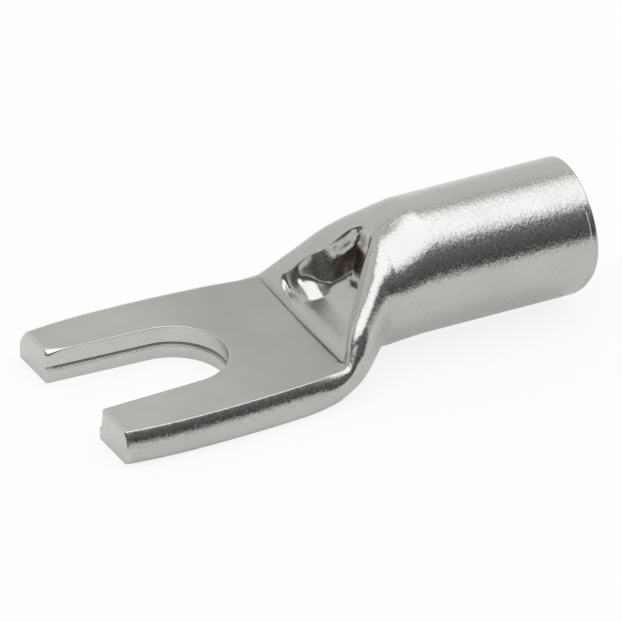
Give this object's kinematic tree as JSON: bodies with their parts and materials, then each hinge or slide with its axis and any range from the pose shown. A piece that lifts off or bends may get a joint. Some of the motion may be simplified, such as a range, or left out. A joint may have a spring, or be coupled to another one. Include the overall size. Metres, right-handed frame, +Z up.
{
  "type": "fork terminal",
  "caption": "Tubular crimp fork terminal: a round wire barrel flattens through a dished neck into a slotted palm that slips under a stud's nut.",
  "frame": {"origin": "centre of the slot's round end, on the underside of the palm", "axes": "+X from the fork along the barrel to its mouth, +Z up out of the palm's top"},
  "size_m": [0.0261, 0.0118, 0.0066],
  "materials": {
    "tinned_copper": "satin"
  },
  "bodies": {
    "root": {"fork_terminal": "tinned_copper"}
  },
  "joints": []
}
